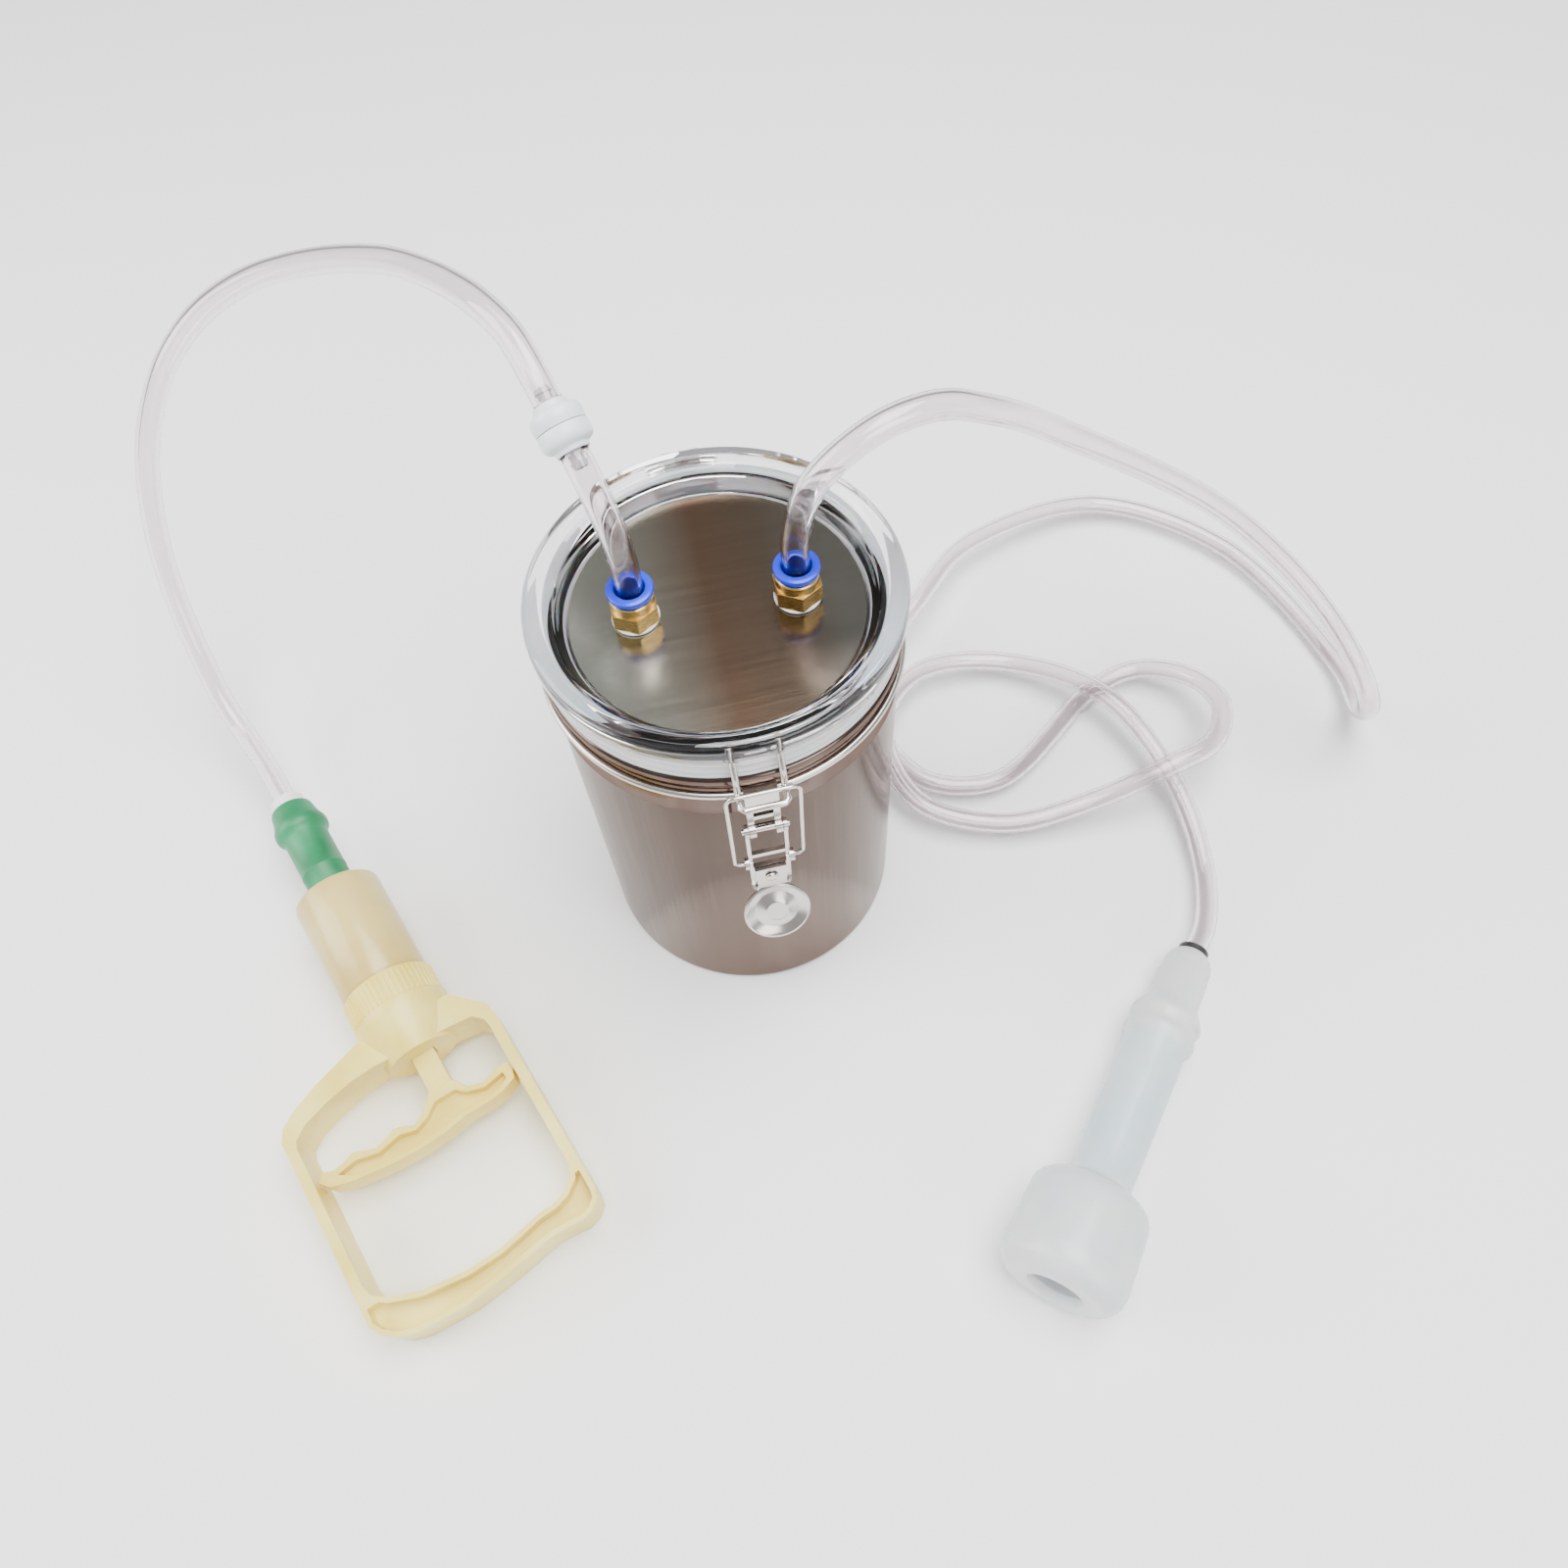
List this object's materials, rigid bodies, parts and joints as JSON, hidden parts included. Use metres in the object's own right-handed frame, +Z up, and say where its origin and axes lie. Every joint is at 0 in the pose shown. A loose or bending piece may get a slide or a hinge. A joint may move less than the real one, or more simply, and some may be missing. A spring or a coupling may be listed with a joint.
{
  "type": "hand milking machine",
  "caption": "Hand-pumped milking set: a latched steel canister with a clear hinged lid, a vacuum hose with a check valve to a trigger pump, and a milk hose to a teat cup.",
  "frame": {"origin": "the middle of the canister's base, on the surface that everything stands or lies on", "axes": "+Z is up through the lid; -Y is the latch side and +Y the hinge side; the pump lies at -X and the teat cup at +X"},
  "size_m": [0.5665, 0.4396, 0.2799],
  "materials": {
    "steel": "polished",
    "wire": "bright",
    "lid_clear": "clear gloss",
    "seal_milky": "satin",
    "brass": "machined",
    "collet_blue": "satin",
    "white_plastic": "satin",
    "cream_plastic": "semi-gloss",
    "green_rubber": "satin",
    "black_rubber": "matt",
    "hose_clear": "clear gloss"
  },
  "bodies": {
    "root": {"canister_body": "steel", "neck_wire": "wire", "hinge_bracket": "wire", "hinge_pin": "wire", "latch_bracket": "wire", "lever_pin": "wire", "pump_barrel": "cream_plastic", "pump_handle": "cream_plastic", "pump_connector": "green_rubber", "hose_adapter": "white_plastic", "cup_liner": "seal_milky", "cup_sleeve": "white_plastic", "cup_grommet": "black_rubber", "vacuum_hose": "hose_clear", "milk_hose": "hose_clear"},
    "lid": {"lid_shell": "lid_clear", "lid_gasket": "seal_milky", "lid_plate": "steel", "lid_keeper": "wire", "lid_hinge_strap": "wire", "fitting_left": "brass", "fitting_right": "brass", "fitting_washer_left": "white_plastic", "fitting_washer_right": "white_plastic", "fitting_nut_left": "brass", "fitting_nut_right": "brass", "fitting_seal_left": "black_rubber", "fitting_seal_right": "black_rubber", "grab_ring_left": "wire", "grab_ring_right": "wire", "valve_inlet": "seal_milky", "valve_outlet": "seal_milky", "valve_diaphragm": "seal_milky", "stub_hose": "hose_clear"},
    "collet_left": {"collet_left": "collet_blue"},
    "collet_right": {"collet_right": "collet_blue"},
    "latch_lever": {"latch_lever": "wire", "latch_tab": "steel", "tab_rivet": "wire"},
    "latch_loop": {"latch_loop": "wire"},
    "pump_trigger": {"pump_trigger": "cream_plastic", "pump_piston": "white_plastic", "piston_seal": "black_rubber"}
  },
  "joints": [
    {"name": "lid_hinge", "type": "hinge", "parent": "root", "child": "lid", "pos_m": [0, 0.073, 0.184], "axis": [-1, 0, 0], "range_deg": [0, 105], "deforming": ["vacuum_hose", "milk_hose"]},
    {"name": "latch_lever_pivot", "type": "hinge", "parent": "root", "child": "latch_lever", "pos_m": [0, -0.07, 0.152], "axis": [-1, 0, 0], "range_deg": [0, 110]},
    {"name": "latch_loop_pivot", "type": "hinge", "parent": "latch_lever", "child": "latch_loop", "pos_m": [0, -0.0712, 0.13], "axis": [-1, 0, 0], "range_deg": [-95, 0]},
    {"name": "trigger_slide", "type": "slide", "parent": "root", "child": "pump_trigger", "axis": [0.3557, -0.9316, -0.075], "range_m": [0, 0.045]},
    {"name": "collet_left_slide", "type": "slide", "parent": "lid", "child": "collet_left", "axis": [0, 0, -1], "range_m": [0, 0.001], "stiffness_N_per_m": 400},
    {"name": "collet_right_slide", "type": "slide", "parent": "lid", "child": "collet_right", "axis": [0, 0, -1], "range_m": [0, 0.001], "stiffness_N_per_m": 400}
  ],
  "couplings": [
    {"joint": "latch_loop_pivot", "follows": "latch_lever_pivot", "ratio": -0.85}
  ]
}
